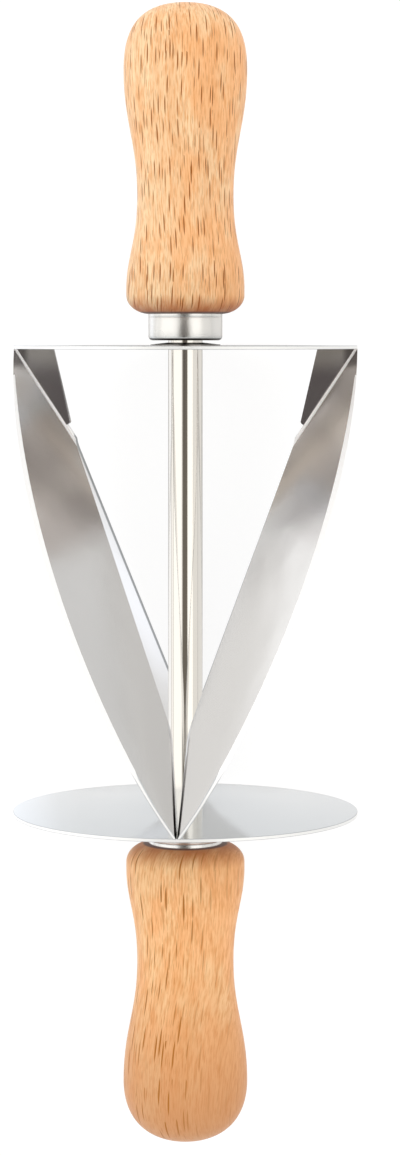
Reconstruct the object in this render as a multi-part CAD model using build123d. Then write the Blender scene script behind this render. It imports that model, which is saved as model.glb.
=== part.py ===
from build123d import *
import os
from math import cos, radians, sin, sqrt, tan

# Rolling croissant cutter: two discs and four folded blades on one axle, with a turned handle at each end.
# It lies on its drum on a bench. The origin is on the bench, below the middle of the overall length,
# +X runs along the axle to the right handle, -Y is the front and +Z is up. Millimetres and degrees.

# Drum
disc_diameter = 100.0
disc_thickness = 1.0
drum_length = 134.0            # between the discs' inner faces
axle_diameter = 10.0

# Blades, bent from sheet
sheet_thickness = 0.8
fold_inset = 0.1               # from the disc's rim to the fold
blade_corner_depth = 11.05     # from the fold's outer end to the line of the straight inner edge
bend_radius = 1.6              # inside the fold
tab_foot = 11.55               # a tab's edge along the disc, from the fold inwards
tab_lean = 4.5                 # a tab's lean from the radial plane
tab_tip_width = 1.95           # a tab's width where its rounded tip starts
tab_tip_round = 0.8
tab_tip_margin = 5.3           # from a tab's tip to the blade's inner corner, along the fold
fold_lip = 0.8                 # sheet left past the fold, from a tab's tip to the inner corner
blade_gap = 0.2                # between neighbouring blades where they meet
edge_arc_radius = 240.0        # the cutting edge's arc, on the face that is ground
edge_arc_reach = 48.5          # from the axle to that arc, midway along the blade
edge_bevel_run = 1.3           # how far the ground bevel runs out across the sheet's thickness

# Handles
handle_diameter = 36.0         # at the fullest place
waist_diameter = 28.0
flare_diameter = 34.4
foot_rise = 5.5                # rounding of the flared foot, along the handle
foot_spread = 7.0              # the same, across it
flare_straight = 1.6           # straight part of the flare, above the rounding
waist_from_foot = 34.4
right_handle_length = 90.6     # from the ferrule's rim
left_handle_length = 86.2
right_crown_length = 19.3      # from the fullest place to the round end
left_crown_length = 17.2

# Curves of a handle, each share taken of the span that the curve crosses
flare_share = 0.36
waist_share = 0.5
swell_share = 0.42
crown_side_share = 0.62
right_crown_top_share = 0.75
left_crown_top_share = 0.66
round_share = 0.5523           # makes a quarter of an ellipse

# Ferrules and what they hold
ferrule_diameter = 21.5
ferrule_length = 7.65
ferrule_wall = 0.9
ferrule_base = 1.2
ferrule_round = 1.6
washer_thickness = 1.0
washer_clearance = 0.85        # washer in ferrule, radial
ring_thickness = 1.0
ring_width = 2.0
ring_opening = 4.0
groove_depth = 0.4
groove_clearance = 0.05        # ring in groove, along the axle
handle_gap = 1.5               # ferrule to disc, with the handle drawn out against its ring
left_push = 0.6                # how far the left handle is pushed in, to its wear washer
tenon_clearance = 0.5          # tenon to ring, with the handle pushed in against the disc

# Wear washers, on the discs under the ferrules
wear_washer_diameter = 20.4
wear_washer_rim = 0.3          # its thickness at the rim
wear_washer_crown = 0.85       # its height at the axle

# Bores
bush_wall = 1.45
bush_length = 26.0
end_wood = 24.0                # wood beyond the bore, at the handle's round end
bore_spare = 4.0               # bore beyond the axle's end
axle_chamfer = 0.8
running_clearance = 0.05       # axle in bush, radial
free_clearance = 0.3           # axle in ferrule, washers and bore, radial

# How far the grinding cut starts before and ends beyond the sheet, as a share of the bevel
grind_overlap = 0.25

# Worked out from these
disc_radius = disc_diameter / 2
axle_radius = axle_diameter / 2
half_drum = drum_length / 2
ferrule_inner_radius = ferrule_diameter / 2 - ferrule_wall
washer_radius = ferrule_inner_radius - washer_clearance
groove_radius = axle_radius - groove_depth
bush_inner_radius = axle_radius + running_clearance
bush_radius = bush_inner_radius + bush_wall
free_radius = axle_radius + free_clearance

# Heights along the axle, the first two from the drum's middle and the others from a ferrule's base
disc_face = half_drum + disc_thickness
ferrule_seat = disc_face + handle_gap
ring_seat = ferrule_base + washer_thickness
tenon_end = ring_seat + ring_thickness + handle_gap + tenon_clearance


def bore_depth(handle_length):
    """The bore's end in a handle, from the ferrule's base."""
    return ferrule_length + handle_length - end_wood


def handle_end(handle_length, push):
    """A handle's round end, from the drum's middle."""
    return ferrule_seat - push + ferrule_length + handle_length


def ring_solid(outer_radius, inner_radius, low, high):
    """A plain ring about the Z axis."""
    height = high - low
    standing = (Align.CENTER, Align.CENTER, Align.MIN)
    body = Cylinder(outer_radius, height, align=standing) - Cylinder(inner_radius, height, align=standing)
    return Pos(0, 0, low) * body


def turned(outline):
    """A solid of revolution about Z from a closed line of edges in the XZ plane."""
    return revolve(make_face(outline), Axis.Z)


def across(vector, direction):
    """The unit part of a vector that is square to a direction."""
    return (vector - direction * vector.dot(direction)).normalized()


def edge_point(along):
    """A point of the cutting edge's arc in a blade's plane: reach from the axle, place along the blade."""
    return (edge_arc_reach - edge_arc_radius + sqrt(edge_arc_radius**2 - along**2), along)


def blade_solid():
    """One blade about an upright axle: from the left of the upper disc to the front of the lower one."""
    lean = radians(tab_lean)
    half_sheet = sheet_thickness / 2
    corner_set = blade_gap / 2 + half_sheet / cos(lean)
    corner_reach = sqrt((disc_radius - fold_inset)**2 - corner_set**2)
    top_corner = Vector(-corner_reach, -corner_set, half_drum)
    low_corner = Vector(-corner_set, -corner_reach, -half_drum)

    # The blade's plane holds the line between its corners and the radius midway between them
    outwards = Vector(-1, -1, 0).normalized()
    along = (top_corner - low_corner).normalized()
    blade_normal = outwards.cross(along)

    # The upper tab's plane holds the radius to the top corner and leans towards the blade
    tab_normal = Vector(0, cos(lean), -sin(lean))
    fold = blade_normal.cross(tab_normal).normalized()
    if fold.Z > 0:
        fold = -fold
    blade_way = across(low_corner - top_corner, fold)
    inwards = Vector(1, 0, 0)
    tab_way = across(inwards, fold)

    # Section square to the fold: two legs of sheet, rounded inside and outside the bend
    section_plane = Plane(origin=top_corner, x_dir=blade_way, z_dir=fold)
    leg = Vector(tab_way.dot(section_plane.x_dir), tab_way.dot(section_plane.y_dir))
    hand = 1 if leg.Y > 0 else -1
    half_turn = tan(radians(leg.get_angle(Vector(1, 0)) / 2))
    inner_point = Vector(half_sheet / half_turn, hand * half_sheet)
    leg_side = Vector(hand * leg.Y, -hand * leg.X) * half_sheet
    blade_leg = Vector(drum_length + disc_diameter, 0)
    tab_leg = leg * (tab_foot * 2)
    blade_side = Vector(0, hand * half_sheet)
    corners = [
        inner_point,
        blade_leg + blade_side,
        blade_leg - blade_side,
        -inner_point,
        tab_leg - leg_side,
        tab_leg + leg_side,
    ]
    section = make_face(Polyline(*corners, close=True))
    inside = section.vertices().sort_by_distance(inner_point)[0]
    section = fillet(inside, bend_radius)
    outside = section.vertices().sort_by_distance(-inner_point)[0]
    section = fillet(outside, bend_radius + sheet_thickness)
    folded_sheet = extrude(section_plane * section, amount=drum_length, both=True)

    # Upper half of the blade: inside the drum, beyond the inner edge, above the middle
    inner_edge = top_corner.dot(outwards) - blade_corner_depth
    half_plane = Plane(origin=(0, 0, 0), x_dir=outwards, z_dir=blade_normal)
    half_box = Box(
        disc_diameter, drum_length + disc_diameter, disc_diameter,
        align=(Align.MIN, Align.MIN, Align.CENTER),
    )
    half_room = half_plane * Pos(inner_edge, 0, 0) * half_box
    drum_room = Cylinder(disc_radius, drum_length)
    upper_half = folded_sheet & half_room & drum_room

    # The tab's free edge, its rounded tip and the lip that runs on to the inner corner
    fold_length = blade_corner_depth / -fold.dot(outwards)
    tip_reach = fold_length - tab_tip_margin
    foot_end = Vector(inwards.dot(fold), inwards.dot(tab_way)) * tab_foot
    tip = Vector(tip_reach, tab_tip_width)
    beyond_foot = foot_end + (foot_end - tip)
    far = drum_length
    waste_outline = Polyline(
        beyond_foot, tip, (tip_reach, fold_lip), (far, fold_lip), (far, far), (beyond_foot.X, far),
        close=True,
    )
    waste = make_face(waste_outline)
    waste = fillet(waste.vertices().sort_by_distance(tip)[0], tab_tip_round)
    tab_plane = Plane(origin=top_corner, x_dir=fold, z_dir=fold.cross(tab_way))
    waste_depth = sheet_thickness + bend_radius
    upper_half -= extrude(tab_plane * waste, amount=waste_depth, both=True)

    # The lower half is the upper one turned over about the middle radius
    lower_half = upper_half.rotate(Axis((0, 0, 0), outwards), 180)

    # The cutting edge: a bevel that runs from the arc on the front face out to the back face
    front = blade_normal if blade_normal.Y < 0 else -blade_normal
    bevel = outwards * edge_bevel_run - front * sheet_thickness
    arc_top = edge_point(half_drum)
    arc_low = edge_point(-half_drum)
    clear = disc_diameter
    beyond_edge = make_face(
        ThreePointArc(arc_top, edge_point(0), arc_low)
        + Polyline(arc_low, (clear, arc_low[1]), (clear, arc_top[1]), arc_top)
    )
    grind_start = front * half_sheet - bevel * grind_overlap
    grind_plane = Plane(origin=grind_start, x_dir=outwards, z_dir=blade_normal)
    grind_length = bevel.length * (1 + 2 * grind_overlap)
    ground_away = extrude(grind_plane * beyond_edge, amount=grind_length, dir=bevel)
    return upper_half + lower_half - ground_away


def disc_solid(low):
    """A disc with its hole for the axle, from a height upwards."""
    return ring_solid(disc_radius, axle_radius, low, low + disc_thickness)


def axle_solid():
    """The rod, with chamfered ends and a groove for the retaining ring in each handle."""
    up = ferrule_seat + bore_depth(right_handle_length) - bore_spare
    down = ferrule_seat + bore_depth(left_handle_length) - bore_spare
    rod = Pos(0, 0, (up - down) / 2) * Cylinder(axle_radius, up + down)
    rod = chamfer(rod.edges().filter_by(GeomType.CIRCLE), axle_chamfer)
    groove_low = ferrule_seat + ring_seat
    groove_high = groove_low + ring_thickness + groove_clearance
    groove = ring_solid(axle_diameter, groove_radius, groove_low, groove_high)
    return rod - groove - mirror(groove, about=Plane.XY)


def retaining_ring():
    """An open ring that springs into the axle's groove, standing on z = 0."""
    outer_radius = groove_radius + ring_width
    flat = Circle(outer_radius) - Circle(groove_radius)
    flat -= Pos(outer_radius, 0) * Rectangle(2 * outer_radius, ring_opening)
    return extrude(flat, ring_thickness)


def ferrule_solid():
    """A cup that stands on its base at z = 0, with a hole for the axle."""
    outer_radius = ferrule_diameter / 2
    round_start = outer_radius - ferrule_round
    middle = ferrule_round * (1 - sqrt(0.5))
    outline = Polyline(
        (outer_radius, 0, ferrule_round),
        (outer_radius, 0, ferrule_length),
        (ferrule_inner_radius, 0, ferrule_length),
        (ferrule_inner_radius, 0, ferrule_base),
        (free_radius, 0, ferrule_base),
        (free_radius, 0, 0),
        (round_start, 0, 0),
    )
    edge = ThreePointArc(
        (round_start, 0, 0), (outer_radius - middle, 0, middle), (outer_radius, 0, ferrule_round)
    )
    return turned(outline + edge)


def wear_washer():
    """A dished washer that lies on a disc at z = 0, highest at the axle."""
    rim_radius = wear_washer_diameter / 2
    outline = Polyline(
        (free_radius, 0, 0), (rim_radius, 0, 0), (rim_radius, 0, wear_washer_rim),
        (free_radius, 0, wear_washer_crown),
        close=True,
    )
    return turned(outline)


def handle_solid(length, crown_length, crown_top_share):
    """A turned grip whose ferrule stands at z = 0: tenon, flared foot, waist, full place and round end."""
    foot = ferrule_length
    end = foot + length
    flare_radius = flare_diameter / 2
    waist_radius = waist_diameter / 2
    full_radius = handle_diameter / 2
    round_top = foot + foot_rise
    flare_top = round_top + flare_straight
    waist = foot + waist_from_foot
    full = end - crown_length
    foot_radius = flare_radius - foot_spread

    straight = Polyline(
        (0, 0, end), (0, 0, tenon_end), (ferrule_inner_radius, 0, tenon_end),
        (ferrule_inner_radius, 0, foot), (foot_radius, 0, foot),
    )
    foot_curve = Bezier(
        (foot_radius, 0, foot), (foot_radius + round_share * foot_spread, 0, foot),
        (flare_radius, 0, round_top - round_share * foot_rise), (flare_radius, 0, round_top),
    )
    flare = Line((flare_radius, 0, round_top), (flare_radius, 0, flare_top))
    to_waist = Bezier(
        (flare_radius, 0, flare_top), (flare_radius, 0, flare_top + flare_share * (waist - flare_top)),
        (waist_radius, 0, waist - waist_share * (waist - flare_top)), (waist_radius, 0, waist),
    )
    to_full = Bezier(
        (waist_radius, 0, waist), (waist_radius, 0, waist + swell_share * (full - waist)),
        (full_radius, 0, full - swell_share * (full - waist)), (full_radius, 0, full),
    )
    crown = Bezier(
        (full_radius, 0, full), (full_radius, 0, full + crown_side_share * crown_length),
        (crown_top_share * full_radius, 0, end), (0, 0, end),
    )
    wood = turned(straight + foot_curve + flare + to_waist + to_full + crown)

    standing = (Align.CENTER, Align.CENTER, Align.MIN)
    bush_seat = Cylinder(bush_radius, bush_length, align=standing)
    bore = Cylinder(free_radius, bore_depth(length) - tenon_end, align=standing)
    return wood - Pos(0, 0, tenon_end) * (bush_seat + bore)


def grip_pieces(length, crown_length, crown_top_share, push):
    """The pieces at one end of the axle, with the ferrule's base at z = 0."""
    return {
        "handle": handle_solid(length, crown_length, crown_top_share),
        "ferrule": ferrule_solid(),
        "bush": ring_solid(bush_radius, bush_inner_radius, tenon_end, tenon_end + bush_length),
        "washer": ring_solid(washer_radius, free_radius, ferrule_base, ring_seat),
        "retaining_ring": Pos(0, 0, ring_seat + push) * retaining_ring(),
        "wear_washer": Pos(0, 0, push - handle_gap) * wear_washer(),
    }


def all_nodes():
    """Every piece of the cutter by name: shaped about an upright axle, then laid on the bench."""
    upright = {
        "axle": axle_solid(),
        "right_disc": disc_solid(half_drum),
        "left_disc": disc_solid(-disc_face),
    }

    blade = blade_solid()
    upright["top_rear_blade"] = blade
    upright["top_front_blade"] = mirror(blade, about=Plane.YZ)
    upright["bottom_rear_blade"] = mirror(blade, about=Plane.XZ)
    upright["bottom_front_blade"] = blade.rotate(Axis.Z, 180)

    ends = (
        ("right", 0, right_handle_length, right_crown_length, right_crown_top_share, 0),
        ("left", 180, left_handle_length, left_crown_length, left_crown_top_share, left_push),
    )
    for side, turn, *grip_sizes, push in ends:
        place = Rot(turn, 0, 0) * Pos(0, 0, ferrule_seat - push)
        for piece, solid in grip_pieces(*grip_sizes, push).items():
            upright[f"{side}_{piece}"] = place * solid

    # The upright axle's left, front and top are the bench's rear, top and right
    drum_middle = (handle_end(left_handle_length, left_push) - handle_end(right_handle_length, 0)) / 2
    bench = Plane(origin=(drum_middle, 0, disc_radius), x_dir=(0, -1, 0), z_dir=(1, 0, 0))
    return {name: bench.location * solid for name, solid in upright.items()}


os.makedirs("parts", exist_ok=True)
for node, solid in all_nodes().items():
    export_step(solid, f"parts/{node}.step")
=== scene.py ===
from math import cos, pi, radians, sin

import bpy
from mathutils import Matrix, Vector


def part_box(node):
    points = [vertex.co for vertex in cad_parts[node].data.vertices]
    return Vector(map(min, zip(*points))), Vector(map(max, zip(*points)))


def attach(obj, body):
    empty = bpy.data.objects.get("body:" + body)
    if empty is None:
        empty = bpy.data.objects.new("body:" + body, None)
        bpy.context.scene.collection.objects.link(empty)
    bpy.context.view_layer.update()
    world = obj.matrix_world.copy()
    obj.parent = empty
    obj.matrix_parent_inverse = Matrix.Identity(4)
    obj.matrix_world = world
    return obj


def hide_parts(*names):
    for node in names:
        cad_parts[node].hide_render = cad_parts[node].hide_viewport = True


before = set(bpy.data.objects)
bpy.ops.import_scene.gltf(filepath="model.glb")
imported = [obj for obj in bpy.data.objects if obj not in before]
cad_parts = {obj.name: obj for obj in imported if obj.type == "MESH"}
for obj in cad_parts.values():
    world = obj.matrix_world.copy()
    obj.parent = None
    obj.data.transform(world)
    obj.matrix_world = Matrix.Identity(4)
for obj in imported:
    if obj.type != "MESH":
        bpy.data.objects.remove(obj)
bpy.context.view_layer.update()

# Rolling croissant cutter, lying on its drum: satin steel blades and discs on a polished rod, with turned
# beech handles. Metres, in the frame of the model: +X along the rod, -Y the front, +Z up.
MM = 0.001

# Places taken from the model
axle_low, axle_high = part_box("axle")
axle_height = (axle_low[2] + axle_high[2]) / 2
axle_radius = (axle_high[2] - axle_low[2]) / 2
right_disc_low, right_disc_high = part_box("right_disc")
left_disc_low, left_disc_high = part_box("left_disc")
drum_right = right_disc_low[0]   # the discs' inner faces
drum_left = left_disc_high[0]
drum_middle = (drum_right + drum_left) / 2
BLADES = ("top_rear_blade", "top_front_blade", "bottom_rear_blade", "bottom_front_blade")

# The photograph's frame in pixels, and the view that it was taken with
PHOTO_WIDTH = 400
PHOTO_HEIGHT = 1156
VIEW_CENTRE_X = 185.4            # pixel that the camera faces squarely
VIEW_CENTRE_Y = 336.0
VIEW_FOCAL = 2903.4              # focal length in pixels
SENSOR_SIDE = 36.0               # millimetres along the frame's long side
CAMERA_DISTANCE = 0.845          # from the rod
CAMERA_TURN = radians(2.76)      # about the rod, to the front
CAMERA_ALONG = right_disc_high[0] + 2.75 * MM

# Softboxes: the way to each, its length and width, the light that it adds to the wall behind it, its tone
SOFTBOX_DISTANCE = 1.0
SOFTBOX_MIDDLE = Vector((0.1, 0, axle_height))
SOFTBOXES = {
    "rear_softbox": (Vector((0, sin(radians(52)), cos(radians(52)))), 1.6, 1.15, 0.44, (1.0, 1.0, 1.0)),
    "front_softbox": (Vector((0, -sin(radians(35)), cos(radians(35)))), 1.6, 0.66, 0.5, (1.0, 0.985, 0.955)),
    "end_softbox": (Vector((0.85, 0.42, 0.36)), 1.0, 0.7, 0.34, (1.0, 1.0, 1.0)),
}

# Room: pale walls and a dim slot of ceiling between the softboxes. A slope is the sideways part of a way
# divided by its upward part. In a pair of slopes a tone starts to change at the first and ends at the second
WALL_TONE = (1.02, 1.01, 0.99, 1.0)
SLOT_TONE = (0.195, 0.176, 0.151, 1.0)
SLOT_SIDES = (0.24, 0.37)        # from slot to wall, across the rod
SLOT_ENDS = (0.4, 0.95)          # from slot to wall, along the rod
SLOT_TAPER = 0.075               # by which the slot narrows beyond the right disc
TAPER_SLOPES = (0.08, 0.2)       # along the rod, where it narrows
CORE_TONE = (0.06, 0.046, 0.052, 1.0)    # the slot's darkest part, above the camera
CORE_SLOPE = (0.13, 0.05, 1.0)
CORE_REACH = (0.06, 0.2)         # from the core to the slot's tone
LEAST_LIFT = 0.001               # stands in for the upward part of ways that go down

# Bench top: its paint, and the glow that keeps it white
FLOOR_SIDE = 12.0
FLOOR_DROP = 0.1 * MM            # below the drum's lowest line, so that the two don't flicker
FLOOR_GLOW = 0.86                # of white, as seen by the camera
FLOOR_PAINT = 0.82               # the paint as it lights other things
FLOOR_MIRROR_PAINT = 0.3         # the paint in the steel's reflections
FLOOR_SHADOW_PAINT = 0.2         # the paint as seen by the camera, to show the shadow
# Glow in the steel's reflections: place from front to rear, then red, green and blue
FLOOR_MIRROR_REACH = 0.9
FLOOR_MIRROR_GLOW = (
    (-0.9, (0.47, 0.47, 0.47)),
    (-0.1, (0.7, 0.7, 0.7)),
    (0.04, (0.7, 0.7, 0.7)),
    (0.07, (1.08, 1.12, 1.2)),
    (0.1, (1.08, 1.12, 1.2)),
    (0.14, (0.7, 0.7, 0.7)),
    (0.27, (0.72, 0.72, 0.72)),
    (0.31, (1.0, 1.0, 1.0)),
    (0.9, (1.0, 1.0, 1.0)),
)
# Oval shade below the drum in these reflections
SHADE_MIDDLE = (0.035, 0, 0)
SHADE_REACH = (0.07, 0.055, 1)   # half its length and half its width
SHADE_CORE = 0.75                # share of the reach that is fully shaded
SHADE_GLOW = 0.4

# Beech. Its pith line runs beside each handle, and pattern sizes are in millimetres along the grain, round
# the pith and away from it
PITH_DEPTH = 40 * MM
PITH_REACH = 56 * MM             # from the pith to the surface where sizes round it are true
PITH_START = 18 * MM             # distance from the pith that the pattern is counted from
WANDER_SIZE = (45, 30, 30)
FIBRE_SIZE = (4.5, 0.42, 2)
FIBRE_LEVELS = (0.42, 0.72)      # of the noise, where the tone comes in and where it is at its most
FIBRE_SHARE = 0.85               # of the tone, at its most
RING_SIZE = (60, 4, 6)
RING_LEVELS = (0.4, 0.75)
RING_SHARE = 0.4
PATCH_SIZE = (18, 7, 12)
PATCH_LEVELS = (0.36, 0.66)
PATCH_LEAN = -0.12 / (15 * MM)   # painted light: by which the patches are paler to the rear, where more light falls, for each metre
# Flecks: the size of the cell that holds one, half the fleck's size as a share of it, the share of cells
DARK_FLECKS = ((10, 1.6, 8), (0.37, 0.15, 0.8), 0.95)
FAINT_FLECKS = ((4, 0.8, 6), (0.38, 0.2, 0.8), 0.85)
FAINT_LEVEL = 0.3                # of a dark fleck's tone
FLECK_CORE = 0.6                 # share of a fleck's size, from its middle, that has its full tone
FLECK_FULL = 0.7                 # share of the flecks that reach their full tone
PLAIN_SIDE = (-18 * MM, -3 * MM)         # round the pith, from the plain side to the flecked one
SHADED_END = (105 * MM, 165 * MM)       # from the model's middle, where a round end turns darker with painted shade
FOOT_ROUND = 5.2 * MM            # height of the foot's end grain, whose darker tone is partly painted shade
SOAK_DEPTH = 7 * MM              # by which it soaks further up in some places
# the most that the end grain's tone and the painted shade line by the ferrule cover
MOST_DARKENED = 0.85
PORE_DEPTH = 0.06 * MM           # of the fibres
FLECK_SINK = 0.6                 # of that depth, by which flecks lie lower
BUMP_STRENGTH = 0.35
BEECH_ROUGHNESS = (0.4, 0.58)
# Painted shade for the corner between each foot and its ferrule
SEAM_SHADE_TONE = "#4A2A20"
# In each set of tones, the one for the foot's end grain also holds painted shade, and the one for the round
# end is painted shade
RIGHT_BEECH_TONES = {
    "pale": "#FFDDB0", "warm": "#FFC690", "fibre": "#E49C5C", "fleck": "#985404",
    "end": "#CA6C38", "shaded_end": "#D49A62",
}
LEFT_BEECH_TONES = {
    "pale": "#FFD29D", "warm": "#FFC289", "fibre": "#E0934E", "fleck": "#AC6A1C",
    "end": "#CE7A42", "shaded_end": "#C4885A",
}

# Steel and nylon
STEEL_LINE_STRENGTH = 0.25       # of the bumps that rolling and polishing leave
HAZE_SIZE = (18, 18, 18)         # patches of haze, mm
HAZE_LEVELS = (0.3, 0.7)         # of the noise, where the roughness starts and ends to change
HAZE_ROUGHNESS = (0.85, 1.15)    # least and most, as shares of the steel's own
NYLON_TONE = "#E4E1D6"
NYLON_ROUGHNESS = 0.4
NYLON_MARKS = (0.3, 8, 8)        # tool marks, mm
NYLON_MARK_DEPTH = 0.02 * MM
NYLON_MARK_STRENGTH = 0.3

# Blades: the sheet
SHEET_LINES = (6, 0.6, 0.6)      # rolling lines, mm
SHEET_LINE_DEPTH = 0.01 * MM
SHEET_WAVES = (16, 12, 12)       # mm
SHEET_WAVE_DEPTH = 0.12 * MM
SHEET_TONE = "#DBDAD9"
SHEET_ROUGHNESS = (0.18, 0.27)   # plain, and with scale by the right disc
SCALE_REACH = (9 * MM, 1 * MM)   # from the right disc, where scale starts and is full
HEAT_TONE = "#5E5557"
HEAT_REACH = (6.5 * MM, 3.5 * MM)        # from the right disc, where heat tint starts and is full
HEAT_RADIUS = (45 * MM, 47.5 * MM)       # the same, from the rod
HEAT_SHARE = 0.7

# Blades: the edges. A face's facing is 1 where it looks away from the rod along the blade's middle radius
EDGE_FACING = (0.09, 0.58)       # without its sign, on bends, which carry a painted highlight by the right disc
GAP_FACING = (-0.69, -0.25)      # on the bends that face each other by the left disc
INNER_FACING = -0.9              # on the sheared inner edge
GROUND_REACH = 48.3 * MM         # from the rod to the ground edge
CREST_TONE = "#FCFCFC"           # painted highlight along the middle of the ground edge
CREST_SIDE_TONE = "#CDCFD1"
CREST_WIDE = 0.46 * MM           # half the width of the crest
CREST_NARROW = 0.2 * MM          # the same, by the left disc
CREST_NARROWS = (16 * MM, 19 * MM)       # from the left disc, where it goes from narrow to wide
CREST_BLUR = 0.04 * MM
GAP_PLAIN_TONE = "#CFCDCB"
GAP_SHADE_TONE = "#3C3836"
GAP_DARKENS = (22 * MM, 6 * MM)          # from the left disc, where the bends go from plain to painted shade
BENDS, SHEARED, GAP_BENDS, GROUND = 1, 2, 3, 4   # material slots, after the sheet's own

# Painted light on the right disc's inner face, in bands for the blades to mirror: place from front to rear,
# and tone
DISC_PAINTED_BANDS = (
    (-50 * MM, "#DCD4CF"),
    (-28 * MM, "#DCD4CF"),
    (-19 * MM, "#F2EAE4"),
    (-12 * MM, "#F2EAE4"),
    (-4 * MM, "#DCD4CF"),
    (14 * MM, "#DCD4CF"),
    (22 * MM, "#E4E5E8"),
    (28 * MM, "#F2F2F6"),
    (34 * MM, "#F4F2F2"),
)

# Turned pieces
TURNED_SEGMENTS = 160
ROUND_STEPS = 6
MERGE_REACH = 0.001 * MM         # up to which points are merged
SMOOTH_ANGLE = radians(32)
RIM_BEVEL = 0.13 * MM            # on the discs' sheared rims
RIM_FACING = 0.1                 # a face's turn to the rod's ends, up to which it is the rim
FLAT_FACING = 0.99               # the same, from which it is a flat of the disc
RIM, RIM_EDGE, OUTER_FLAT = 1, 2, 3      # a disc's material slots, after its inner flat's
FERRULE_ROUND = 1.2 * MM
FERRULE_WALL = 0.9 * MM
FERRULE_BASE = 1.2 * MM
FERRULE_HOLE = 5.3 * MM          # radius
FERRULE_LINE = 0.85 * MM         # from the wood to the line turned round the rim
FERRULE_LINE_WIDTH = 0.16 * MM
FERRULE_LINE_DEPTH = 0.04 * MM
FERRULE_SHADED = 0.45              # facing to the disc from which a ferrule's underside takes painted shade
UNDERSIDE = 1                    # a ferrule's material slot, after its wall's


def linear(hex_colour):
    """An sRGB hex colour as the linear colour that a socket takes."""
    channels = [int(hex_colour[place:place + 2], 16) / 255 for place in (1, 3, 5)]
    return tuple(c / 12.92 if c <= 0.04045 else ((c + 0.055) / 1.055)**2.4 for c in channels) + (1.0,)


def grey(level):
    """A linear grey."""
    return (level, level, level, 1.0)


def per_metre(*sizes):
    """Pattern scales from sizes in millimetres, one for each axis."""
    return tuple(1 / (size * MM) for size in sizes)


def add_node(tree, kind, sockets=None, **options):
    """Adds a node with its options. A socket takes a constant, or a (node, output) pair to link."""
    made = tree.nodes.new(kind)
    for option, value in options.items():
        setattr(made, option, value)
    for socket, value in (sockets or {}).items():
        if isinstance(value, tuple) and isinstance(value[0], bpy.types.Node):
            source, output = value
            tree.links.new(source.outputs[output], made.inputs[socket])
        else:
            made.inputs[socket].default_value = value
    return made


# The functions from here to noise add nodes and give back the (node, output) pairs to link

def maths(tree, operation, *values):
    """A number worked out from others."""
    return add_node(tree, "ShaderNodeMath", dict(enumerate(values)), operation=operation), "Value"


def vector_maths(tree, operation, *values):
    """A vector worked out from others."""
    return add_node(tree, "ShaderNodeVectorMath", dict(enumerate(values)), operation=operation), "Vector"


def length_of(tree, vector):
    """How long a vector is."""
    return add_node(tree, "ShaderNodeVectorMath", {0: vector}, operation="LENGTH"), "Value"


def parts_of(tree, vector):
    """The three parts of a vector."""
    split = add_node(tree, "ShaderNodeSeparateXYZ", {"Vector": vector})
    return (split, "X"), (split, "Y"), (split, "Z")


def vector_from(tree, along, across, above):
    """A vector from its three parts."""
    return add_node(tree, "ShaderNodeCombineXYZ", {"X": along, "Y": across, "Z": above}), "Vector"


def spread(tree, value, start, end, low=0.0, high=1.0, smooth=False):
    """A number that goes from low to high while a value goes from start to end, and stays there."""
    return add_node(tree, "ShaderNodeMapRange", {
        "Value": value, "From Min": start, "From Max": end, "To Min": low, "To Max": high,
    }, interpolation_type="SMOOTHSTEP" if smooth else "LINEAR"), "Result"


def blend(tree, share, first, second):
    """A colour between two others."""
    return add_node(tree, "ShaderNodeMix", {0: share, 6: first, 7: second}, data_type="RGBA"), 2


def colour_run(tree, value, start, end, stops):
    """Colours that follow a value from start to end: each stop has its place and its linear colour."""
    ramp = add_node(tree, "ShaderNodeValToRGB", {"Fac": spread(tree, value, start, end)})
    elements = ramp.color_ramp.elements
    elements.remove(elements[1])
    elements[0].color = stops[0][1]
    for place, colour in stops[1:]:
        elements.new((place - start) / (end - start)).color = colour
    return ramp, "Color"


def bumps(tree, height, strength, depth, under=None):
    """The surface's normal over bumps, which may lie on top of others."""
    sockets = {"Height": height, "Strength": strength, "Distance": depth}
    if under:
        sockets["Normal"] = under
    return add_node(tree, "ShaderNodeBump", sockets), "Normal"


def noise(tree, space, size, detail=2.0, roughness=0.5, output="Fac"):
    """Noise with a grain of this size in millimetres along each axis."""
    scaled = add_node(tree, "ShaderNodeMapping", {"Vector": space, "Scale": per_metre(*size)})
    return add_node(tree, "ShaderNodeTexNoise", {
        "Vector": (scaled, "Vector"), "Scale": 1.0, "Detail": detail, "Roughness": roughness,
    }), output


def new_material(name):
    """An empty node material, its tree, and the place on the object."""
    material = bpy.data.materials.new(name)
    material.use_nodes = True
    tree = material.node_tree
    tree.nodes.clear()
    return material, tree, (add_node(tree, "ShaderNodeTexCoord"), "Object")


def lay_surface(tree, sockets):
    """Ends a material with its surface."""
    surface = add_node(tree, "ShaderNodeBsdfPrincipled", sockets)
    add_node(tree, "ShaderNodeOutputMaterial", {"Surface": (surface, "BSDF")})


def flecks(tree, space, cell, half_size, picked, coarse=1.0):
    """Thin lens-shaped flecks, one in each picked cell. Coarse ones have longer and wider cells."""
    long, wide, deep = cell
    scale = per_metre(long * coarse, wide * coarse, deep)
    cells = add_node(tree, "ShaderNodeMapping", {"Vector": space, "Scale": scale}), "Vector"
    seeds = add_node(tree, "ShaderNodeTexVoronoi", {"Vector": cells, "Scale": 1.0})
    offset = vector_maths(tree, "SUBTRACT", cells, (seeds, "Position"))
    away = length_of(tree, vector_maths(tree, "DIVIDE", offset, half_size))
    shape = spread(tree, away, 1.0, FLECK_CORE, smooth=True)
    dice = add_node(tree, "ShaderNodeSeparateColor", {"Color": (seeds, "Color")})
    pick = spread(tree, (dice, "Red"), 1 - picked, 1 - FLECK_FULL * picked)
    return maths(tree, "MULTIPLY", shape, pick)


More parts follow.
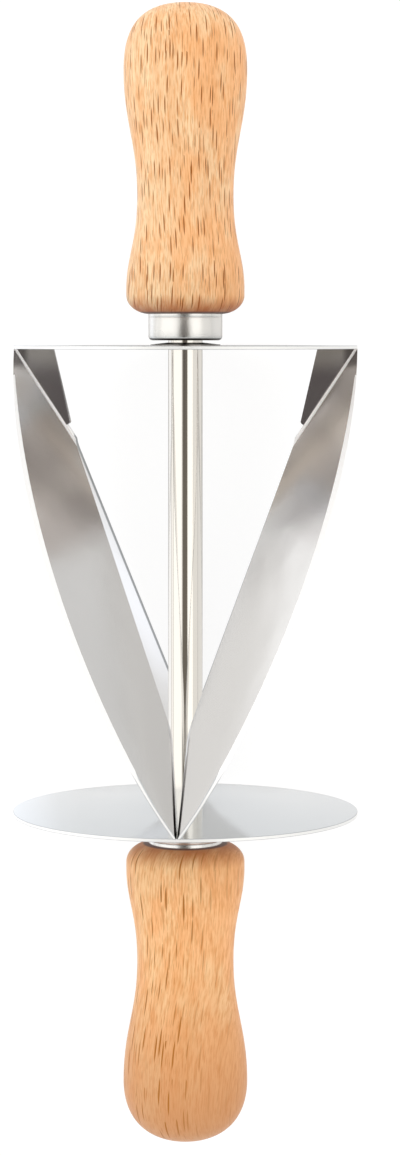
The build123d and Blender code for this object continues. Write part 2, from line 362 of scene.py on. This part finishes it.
def oiled_beech(name, foot, seam_shade, shift, turn, slant, wander, coarse, plain_side, shaded_end, tones):
    """Turned beech, sanded and oiled: warm pale wood with short dark ray flecks along the grain.

    The flecks are thin plates that stand on a pith line beside the handle, so they show as short lines.
    They fade towards the plain side. The end grain of the foot takes more oil and is darker, and its tone
    also holds painted shade. A round end is darker with painted shade, where the light falls off. A line
    of painted shade, so many mm high, lies along the ferrule. Shift, turn and slant place the pattern in
    the handle, and its grain wanders by so many mm.
    """
    material, tree, place = new_material(name)
    turned = add_node(tree, "ShaderNodeMapping", {
        "Vector": place, "Location": (shift, 0, axle_height), "Rotation": (turn, 0, slant),
    }, vector_type="TEXTURE")
    tone = {part: linear(hex_colour) for part, hex_colour in tones.items()}

    # Place along the grain, round the pith and away from it
    along, across, up = parts_of(tree, (turned, "Vector"))
    above = maths(tree, "ADD", up, PITH_DEPTH)
    sideways = maths(tree, "MULTIPLY", maths(tree, "ARCTAN2", across, above), PITH_REACH)
    from_pith = length_of(tree, vector_from(tree, 0, across, above))
    grain = vector_from(tree, along, sideways, maths(tree, "SUBTRACT", from_pith, PITH_START))

    # The grain wanders a little to the side along the handle
    wandering = noise(tree, grain, WANDER_SIZE, detail=1.0, output="Color")
    fibre_way = vector_maths(tree, "MULTIPLY_ADD", wandering, (0, wander * MM, 0), grain)

    # Fine fibres, growth rings, and broad patches that took more or less oil
    fibre = noise(tree, fibre_way, FIBRE_SIZE, roughness=0.6)
    ring = noise(tree, fibre_way, RING_SIZE)
    # Painted light: the patches turn paler towards the rear, where more light falls
    patch = maths(tree, "MULTIPLY_ADD", sideways, PATCH_LEAN, noise(tree, fibre_way, PATCH_SIZE, detail=3.0))
    patch_tone = blend(tree, spread(tree, patch, *PATCH_LEVELS, smooth=True), tone["pale"], tone["warm"])
    ringed = blend(tree, spread(tree, ring, *RING_LEVELS, high=RING_SHARE), patch_tone, tone["fibre"])
    fibred = blend(tree, spread(tree, fibre, *FIBRE_LEVELS, high=FIBRE_SHARE), ringed, tone["fibre"])

    # Painted shade: the round end is darker, where the light falls off
    from_middle = maths(tree, "ABSOLUTE", parts_of(tree, place)[0])
    shaded_end_share = spread(tree, from_middle, *SHADED_END, high=shaded_end, smooth=True)
    darkened = blend(tree, shaded_end_share, fibred, tone["shaded_end"])

    # Ray flecks: dark ones, 7 mm long and half a millimetre wide if coarse is 1, and faint small ones
    dark = flecks(tree, fibre_way, *DARK_FLECKS, coarse)
    faint = maths(tree, "MULTIPLY", flecks(tree, fibre_way, *FAINT_FLECKS), FAINT_LEVEL)
    side_share = spread(tree, sideways, *PLAIN_SIDE, low=plain_side, smooth=True)
    fleck_share = maths(tree, "MULTIPLY", maths(tree, "MAXIMUM", dark, faint), side_share)
    flecked = blend(tree, fleck_share, darkened, tone["fleck"])

    # End grain at the foot, more of it the further the rounding turns to the drum, soaked in along the
    # rings. Its dark tone is partly the oil that end grain takes and partly painted shade where the foot
    # faces the drum
    soaked = maths(tree, "MULTIPLY_ADD", ring, -SOAK_DEPTH, from_middle)
    soak_end = foot - SOAK_DEPTH / 2
    end_share = spread(tree, soaked, soak_end + FOOT_ROUND, soak_end, high=MOST_DARKENED)
    ended = blend(tree, end_share, flecked, tone["end"])

    # Painted shade: a dark line in the corner between the wood and the ferrule
    seam_shade_share = spread(tree, from_middle, foot + seam_shade * MM, foot + seam_shade * MM / 2, high=MOST_DARKENED)
    colour = blend(tree, seam_shade_share, ended, linear(SEAM_SHADE_TONE))

    # Open pores along the fibres, and flecks that lie a hair below the surface
    relief = maths(tree, "MULTIPLY_ADD", dark, -FLECK_SINK, fibre)
    smooth, rough = BEECH_ROUGHNESS
    lay_surface(tree, {
        "Base Color": colour, "Roughness": spread(tree, fibre, 0, 1, low=smooth, high=rough),
        "Specular IOR Level": 0.25, "Sheen Weight": 0.12, "Sheen Roughness": 0.4,
        "Normal": bumps(tree, relief, BUMP_STRENGTH, PORE_DEPTH),
    })
    return material


def crest_tone(tree, place):
    """Painted highlight: white along the middle of a ground edge and grey beside it, with more grey by the
    left disc.

    The middle planes of the four blades are one plane once Y and Z are counted without their signs.
    """
    flat = max(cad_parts["top_rear_blade"].data.polygons, key=lambda face: face.area)
    centred = vector_maths(tree, "SUBTRACT", place, (drum_middle, 0, axle_height))
    along, beside, above = parts_of(tree, centred)
    lead = maths(tree, "SUBTRACT", maths(tree, "ABSOLUTE", beside), maths(tree, "ABSOLUTE", above))
    lift = maths(tree, "MULTIPLY", lead, -abs(flat.normal.y))
    off_middle = maths(tree, "ABSOLUTE", maths(tree, "MULTIPLY_ADD", along, abs(flat.normal.x), lift))
    narrow_end, wide_start = (drum_left - drum_middle + reach for reach in CREST_NARROWS)
    half_width = spread(tree, along, narrow_end, wide_start, low=CREST_NARROW, high=CREST_WIDE)
    excess = maths(tree, "SUBTRACT", off_middle, half_width)
    side_share = spread(tree, excess, -CREST_BLUR, CREST_BLUR)
    return blend(tree, side_share, linear(CREST_TONE), linear(CREST_SIDE_TONE))


def painted_band_tone(tree, place):
    """Steel of the right disc with painted light: bands, brighter or cooler in places from front to rear,
    that the blades mirror.
    """
    stops = [(rearward, linear(hex_colour)) for rearward, hex_colour in DISC_PAINTED_BANDS]
    return colour_run(tree, parts_of(tree, place)[1], right_disc_low[1], right_disc_high[1], stops)


def gap_tone(tree, place):
    """Painted shade: steel that is dark on the bends by the left disc and plain further along."""
    plain_end, dark_start = (drum_left + reach for reach in GAP_DARKENS)
    dark_share = spread(tree, parts_of(tree, place)[0], plain_end, dark_start)
    return blend(tree, dark_share, linear(GAP_PLAIN_TONE), linear(GAP_SHADE_TONE))


def steel(name, tone, roughness, line_length, line_width, line_depth):
    """Stainless steel: a cool grey metal whose rolling or polishing lines blur what it mirrors.

    The tone is a hex colour, or a function that adds the nodes of an uneven one. A faint haze in patches
    makes the steel rougher or smoother.
    """
    material, tree, place = new_material(name)
    lines = noise(tree, place, (line_length, line_width, line_width), detail=3.0, roughness=0.6)
    haze = noise(tree, place, HAZE_SIZE, detail=4.0)
    least, most = (roughness * share for share in HAZE_ROUGHNESS)
    lay_surface(tree, {
        "Base Color": tone(tree, place) if callable(tone) else linear(tone), "Metallic": 1.0,
        "Roughness": spread(tree, haze, *HAZE_LEVELS, low=least, high=most),
        "Normal": bumps(tree, lines, STEEL_LINE_STRENGTH, line_depth * MM),
    })
    return material


def blade_sheet():
    """Satin stainless sheet: rolling lines, a slight waviness, and scale and heat tint by the right disc."""
    material, tree, place = new_material("satin_stainless_sheet")
    lines = noise(tree, place, SHEET_LINES, detail=3.0, roughness=0.6)
    waves = bumps(tree, noise(tree, place, SHEET_WAVES, detail=1.0), 1.0, SHEET_WAVE_DEPTH)

    # Scale makes the sheet rougher, and heat tints the corners at the rim
    along = parts_of(tree, place)[0]
    centred = vector_maths(tree, "SUBTRACT", place, (0, 0, axle_height))
    radius = length_of(tree, vector_maths(tree, "MULTIPLY", centred, (0, 1, 1)))
    scale_start, scale_full = (drum_right - reach for reach in SCALE_REACH)
    heat_start, heat_full = (drum_right - reach for reach in HEAT_REACH)
    plain, scaled = SHEET_ROUGHNESS
    roughness = spread(tree, along, scale_start, scale_full, low=plain, high=scaled, smooth=True)
    heated = spread(tree, along, heat_start, heat_full, smooth=True)
    at_rim = spread(tree, radius, *HEAT_RADIUS, high=HEAT_SHARE, smooth=True)
    tint_share = maths(tree, "MULTIPLY", heated, at_rim)
    lay_surface(tree, {
        "Base Color": blend(tree, tint_share, linear(SHEET_TONE), linear(HEAT_TONE)), "Metallic": 1.0,
        "Roughness": roughness, "Normal": bumps(tree, lines, STEEL_LINE_STRENGTH, SHEET_LINE_DEPTH, waves),
    })
    return material


def natural_nylon():
    """Turned nylon: milky, waxy plastic with faint tool marks."""
    material, tree, place = new_material("natural_nylon")
    marks = noise(tree, place, NYLON_MARKS)
    lay_surface(tree, {
        "Base Color": linear(NYLON_TONE), "Roughness": NYLON_ROUGHNESS,
        "Normal": bumps(tree, marks, NYLON_MARK_STRENGTH, NYLON_MARK_DEPTH),
    })
    return material


def dress(materials, *names):
    """Gives CAD nodes their materials."""
    for name in names:
        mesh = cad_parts[name].data
        mesh.materials.clear()
        for material in materials:
            mesh.materials.append(material)


def mark_edges(name):
    """Puts a blade's ground and sheared edges, and its bends by both discs, in their material slots."""
    low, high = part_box(name)
    outward = Vector((0, low[1] + high[1], low[2] + high[2] - 2 * axle_height)).normalized()
    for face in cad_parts[name].data.polygons:
        facing = face.normal.dot(outward)
        slant = abs(facing)
        reach = Vector((0, face.center[1], face.center[2] - axle_height)).length
        rightward = face.center[0] > drum_middle
        if slant > EDGE_FACING[0] and reach > GROUND_REACH:
            face.material_index = GROUND
        # Bends by the right disc: a painted highlight
        elif rightward and EDGE_FACING[0] < slant < EDGE_FACING[1]:
            face.material_index = BENDS
        elif facing < INNER_FACING:
            face.material_index = SHEARED
        # Bends that face each other by the left disc: painted shade
        elif not rightward and GAP_FACING[0] < facing < GAP_FACING[1]:
            face.material_index = GAP_BENDS


def rounded(centre, radius, start, end):
    """Points of an arc in a profile, from one angle to another: place along the rod, radius."""
    points = []
    for step in range(ROUND_STEPS + 1):
        angle = start + (end - start) * step / ROUND_STEPS
        points.append((centre[0] + radius * cos(angle), centre[1] + radius * sin(angle)))
    return points


def turn_piece(name, profile, node, body, materials):
    """Turns a closed profile about the rod: a ring is drawn out and resized from point to point."""
    bpy.ops.object.select_all(action="DESELECT")
    along, radius = profile[0]
    bpy.ops.mesh.primitive_circle_add(
        vertices=TURNED_SEGMENTS, radius=radius, location=(along, 0, axle_height), rotation=(0, pi / 2, 0)
    )
    piece = bpy.context.object
    piece.name = name
    bpy.ops.object.transform_apply(location=True, rotation=True, scale=True)
    bpy.ops.object.mode_set(mode="EDIT")
    bpy.ops.mesh.select_all(action="SELECT")
    for next_along, next_radius in profile[1:] + profile[:1]:
        bpy.ops.mesh.extrude_region_move(TRANSFORM_OT_translate={"value": (next_along - along, 0, 0)})
        growth = next_radius / radius
        bpy.ops.transform.resize(value=(1, growth, growth), center_override=(next_along, 0, axle_height))
        along, radius = next_along, next_radius
    bpy.ops.mesh.select_all(action="SELECT")
    bpy.ops.mesh.remove_doubles(threshold=MERGE_REACH)
    bpy.ops.mesh.normals_make_consistent(inside=False)
    bpy.ops.object.mode_set(mode="OBJECT")
    bpy.ops.object.shade_smooth_by_angle(angle=SMOOTH_ANGLE)
    for material in materials:
        piece.data.materials.append(material)
    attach(piece, body)
    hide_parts(node)
    return piece


def turn_disc(name, node, low, high, way, materials):
    """A disc with its sheared rim, a hair's breadth rounded at both edges.

    The way is 1 where its outer flat looks to the right, and -1 where it looks to the left.
    """
    outer = (high[2] - low[2]) / 2
    near, far = low[0], high[0]
    inset = outer - RIM_BEVEL
    profile = [(near, axle_radius), (near, inset)]
    profile += rounded((near + RIM_BEVEL, inset), RIM_BEVEL, pi, pi / 2)[1:]
    profile += rounded((far - RIM_BEVEL, inset), RIM_BEVEL, pi / 2, 0)
    profile += [(far, axle_radius)]
    piece = turn_piece(name, profile, node, "cutter", materials)
    for face in piece.data.polygons:
        endwise = abs(face.normal.x)
        middle = Vector((0, face.center[1], face.center[2] - axle_height))
        if endwise < RIM_FACING and middle.length > inset:
            face.material_index = RIM
        # The rim's rounded edges: painted shade lines either side of the rim
        elif RIM_FACING < endwise < FLAT_FACING:
            face.material_index = RIM_EDGE
        elif face.normal.x * way > FLAT_FACING:
            face.material_index = OUTER_FLAT


def turn_ferrule(name, node, body, base, way, materials):
    """A cup over the handle's foot: rounded base, straight wall and a fine line turned round its rim.

    The way is 1 where it opens to the right, and -1 where it opens to the left.
    """
    low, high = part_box(node)
    outer = (high[2] - low[2]) / 2
    inner = outer - FERRULE_WALL
    length = high[0] - low[0]
    line = length - FERRULE_LINE
    floor = [(0, outer - FERRULE_ROUND)]
    floor += rounded((FERRULE_ROUND, outer - FERRULE_ROUND), FERRULE_ROUND, pi, pi / 2)[1:]
    wall = [
        (line - FERRULE_LINE_WIDTH, outer), (line - FERRULE_LINE_WIDTH / 2, outer - FERRULE_LINE_DEPTH),
        (line, outer), (length, outer), (length, inner),
        (FERRULE_BASE, inner), (FERRULE_BASE, FERRULE_HOLE), (0, FERRULE_HOLE),
    ]
    profile = [(base + way * along, radius) for along, radius in floor + wall]
    piece = turn_piece(name, profile, node, body, materials)
    for face in piece.data.polygons:
        # Painted shade: the underside that faces the disc takes a dark steel
        if face.normal.x * way < -FERRULE_SHADED:
            face.material_index = UNDERSIDE


def lay_floor():
    """A white bench top that glows for the camera and in the steel, and still takes the cutter's shadow."""
    bpy.ops.mesh.primitive_plane_add(size=FLOOR_SIDE, location=(0, 0, -FLOOR_DROP))
    floor = bpy.context.object
    floor.name = "bench_top"
    material, tree, place = new_material("white_bench_top")
    path = add_node(tree, "ShaderNodeLightPath")
    mirrored = (path, "Is Glossy Ray")
    seen = maths(tree, "MAXIMUM", (path, "Is Camera Ray"), (path, "Is Transmission Ray"))

    # Glow: plain for the camera, and from front to rear with the shade below the drum in the steel
    stops = [(rearward, tone + (1,)) for rearward, tone in FLOOR_MIRROR_GLOW]
    mirror_run = colour_run(tree, parts_of(tree, place)[1], -FLOOR_MIRROR_REACH, FLOOR_MIRROR_REACH, stops)
    oval = add_node(tree, "ShaderNodeMapping", {
        "Vector": place, "Location": SHADE_MIDDLE, "Scale": SHADE_REACH,
    }, vector_type="TEXTURE")
    shade = spread(tree, length_of(tree, (oval, "Vector")), 1.0, SHADE_CORE, smooth=True)
    mirror_tone = blend(tree, shade, mirror_run, grey(SHADE_GLOW))
    glow = add_node(tree, "ShaderNodeEmission", {
        "Color": blend(tree, mirrored, grey(FLOOR_GLOW), mirror_tone),
        "Strength": maths(tree, "MAXIMUM", seen, mirrored),
    })

    # Paint: less of it where the glow is added
    mirror_paint = spread(tree, mirrored, 0, 1, low=FLOOR_PAINT, high=FLOOR_MIRROR_PAINT)
    level = spread(tree, seen, 0, 1, low=mirror_paint, high=FLOOR_SHADOW_PAINT)
    paint_tone = add_node(tree, "ShaderNodeCombineColor", {"Red": level, "Green": level, "Blue": level})
    paint = add_node(tree, "ShaderNodeBsdfDiffuse", {"Color": (paint_tone, "Color")})
    surface = add_node(tree, "ShaderNodeAddShader", {0: (glow, "Emission"), 1: (paint, "BSDF")})
    add_node(tree, "ShaderNodeOutputMaterial", {"Surface": (surface, "Shader")})
    material.cycles.emission_sampling = "NONE"
    floor.data.materials.append(material)


def hang_softbox(name, way, length, width, level, tone):
    """A soft lamp turned to the drum. A radiance of 1 shows as white."""
    turn = way.to_track_quat("Z", "Y").to_euler()
    place = SOFTBOX_MIDDLE + way.normalized() * SOFTBOX_DISTANCE
    bpy.ops.object.light_add(type="AREA", location=place, rotation=turn)
    lamp = bpy.context.object
    lamp.name = name
    lamp.data.shape = "RECTANGLE"
    lamp.data.size = length
    lamp.data.size_y = width
    lamp.data.energy = level * pi * length * width
    lamp.data.color = tone
    lamp.visible_camera = False


def light_the_room():
    """Pale walls all round and, above the camera, a dim ceiling between the softboxes with a darker core."""
    world = bpy.data.worlds.new("studio")
    bpy.context.scene.world = world
    world.use_nodes = True
    tree = world.node_tree
    tree.nodes.clear()
    path = add_node(tree, "ShaderNodeLightPath")
    way = (add_node(tree, "ShaderNodeTexCoord"), "Generated")
    lift = maths(tree, "MAXIMUM", parts_of(tree, way)[2], LEAST_LIFT)
    slant = maths(tree, "DIVIDE", 1.0, lift)
    slope = add_node(tree, "ShaderNodeVectorMath", {0: way, "Scale": slant}, operation="SCALE"), "Vector"
    rightward = parts_of(tree, slope)[0]
    endwise, sideways = parts_of(tree, vector_maths(tree, "ABSOLUTE", slope))[:2]

    # Walls beside the slot and beyond its ends
    taper = spread(tree, rightward, *TAPER_SLOPES, high=SLOT_TAPER)
    beside = spread(tree, maths(tree, "ADD", sideways, taper), *SLOT_SIDES, smooth=True)
    beyond = spread(tree, endwise, *SLOT_ENDS, smooth=True)
    walls = maths(tree, "MAXIMUM", beside, beyond)

    # The slot with its core
    from_core = length_of(tree, vector_maths(tree, "SUBTRACT", slope, CORE_SLOPE))
    ceiling = blend(tree, spread(tree, from_core, *CORE_REACH, smooth=True), CORE_TONE, SLOT_TONE)
    room_tone = blend(tree, walls, ceiling, WALL_TONE)
    tone = blend(tree, (path, "Is Camera Ray"), room_tone, linear("#FFFFFF"))
    room = add_node(tree, "ShaderNodeBackground", {"Color": tone})
    add_node(tree, "ShaderNodeOutputWorld", {"Surface": (room, "Background")})


def set_camera():
    """Above the bench, square to the rod, facing it just beyond the right disc."""
    back = Vector((0, -sin(CAMERA_TURN), cos(CAMERA_TURN)))
    up = Vector((1, 0, 0))
    turn = Matrix((up.cross(back), up, back)).transposed()
    place = Vector((CAMERA_ALONG, 0, axle_height)) + back * CAMERA_DISTANCE
    bpy.ops.object.camera_add(location=place, rotation=turn.to_euler())
    camera = bpy.context.object
    camera.name = "photo_camera"
    camera.data.sensor_width = SENSOR_SIDE
    camera.data.lens = SENSOR_SIDE * VIEW_FOCAL / PHOTO_HEIGHT
    camera.data.shift_x = (PHOTO_WIDTH / 2 - VIEW_CENTRE_X) / PHOTO_HEIGHT
    camera.data.shift_y = (VIEW_CENTRE_Y - PHOTO_HEIGHT / 2) / PHOTO_HEIGHT
    bpy.context.scene.camera = camera


# Each steel: its name, tone and roughness, then the length, width and depth of its lines in millimetres
blade_steel = blade_sheet()
bend_steel = steel("stainless_bend_painted_highlight", "#FCFCFC", 0.65, 0.4, 0.4, 0.01)            # painted highlight on the bends
gap_steel = steel("stainless_bend_painted_shade", gap_tone, 0.3, 0.5, 0.5, 0.01)             # painted shade lines along the bends by the left disc
ground_steel = steel("ground_stainless_edge_painted_highlight", crest_tone, 0.65, 0.4, 0.4, 0.01)       # ground edges with a fine painted highlight
edge_shade_steel = steel("grey_stainless_edge_painted_shade", "#B0B3B6", 0.4, 0.4, 0.4, 0.02)      # grey sheared blade edges, and painted shade lines on the discs' rim edges
disc_steel = steel("bright_stainless_disc", "#D2D6D9", 0.14, 6, 0.6, 0.005)           # pale, near a mirror
banded_disc_steel = steel("stainless_disc_painted_bands", painted_band_tone, 0.14, 6, 0.6, 0.005)  # painted bright bands that the blades mirror
rim_steel = steel("sheared_stainless_rim", "#F4F4F3", 0.62, 0.4, 0.4, 0.02)           # matt white rims
rod_steel = steel("polished_stainless", "#DEDAD3", 0.09, 0.6, 6, 0.003)               # sharp long bands
ferrule_steel = steel("drawn_stainless_ferrule", "#DEDCD8", 0.25, 0.6, 0.4, 0.1)      # soft bright bands
ferrule_shade_steel = steel("stainless_underside_painted_shade", "#6E6A67", 0.35, 0.5, 0.5, 0.01)               # painted shade on the ferrules' undersides
washer_steel = steel("dark_steel_washer", "#827E7A", 0.2, 0.5, 0.5, 0.01)             # a thin dark line
zinc_steel = steel("zinc_plated_spring_steel", "#C4C7CC", 0.35, 0.5, 0.5, 0.01)       # dull bluish grey
# Each handle has a line of painted shade along its ferrule, so many mm high, and the left one has painted
# shade on its round end
right_beech = oiled_beech(
    "oiled_beech_right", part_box("right_ferrule")[1][0], seam_shade=0.75, shift=0.031, turn=radians(8), slant=0,
    wander=4, coarse=1.0, plain_side=1.0, shaded_end=0.0, tones=RIGHT_BEECH_TONES,
)
left_beech = oiled_beech(
    "oiled_beech_left", -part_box("left_ferrule")[0][0], seam_shade=0.33, shift=-0.115, turn=radians(-24),
    slant=radians(-4), wander=5, coarse=1.35, plain_side=0.25, shaded_end=0.8, tones=LEFT_BEECH_TONES,
)

dress((blade_steel, bend_steel, edge_shade_steel, gap_steel, ground_steel), *BLADES)
for blade in BLADES:
    mark_edges(blade)
dress((rod_steel,), "axle")
dress((washer_steel,), "right_wear_washer", "left_wear_washer")
dress((zinc_steel,), "right_washer", "left_washer", "right_retaining_ring", "left_retaining_ring")
dress((natural_nylon(),), "right_bush", "left_bush")
dress((right_beech,), "right_handle")
dress((left_beech,), "left_handle")

turn_disc(
    "right_disc_turned", "right_disc", right_disc_low, right_disc_high, 1,
    (banded_disc_steel, rim_steel, edge_shade_steel, disc_steel),
)
turn_disc(
    "left_disc_turned", "left_disc", left_disc_low, left_disc_high, -1,
    (disc_steel, rim_steel, edge_shade_steel, disc_steel),
)
turn_ferrule(
    "right_ferrule_turned", "right_ferrule", "right_grip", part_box("right_ferrule")[0][0], 1,
    (ferrule_steel, ferrule_shade_steel),
)
turn_ferrule(
    "left_ferrule_turned", "left_ferrule", "left_grip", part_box("left_ferrule")[1][0], -1,
    (ferrule_steel, ferrule_shade_steel),
)

lay_floor()
for softbox, make in SOFTBOXES.items():
    hang_softbox(softbox, *make)
light_the_room()
set_camera()
bpy.context.scene.view_settings.view_transform = "Standard"
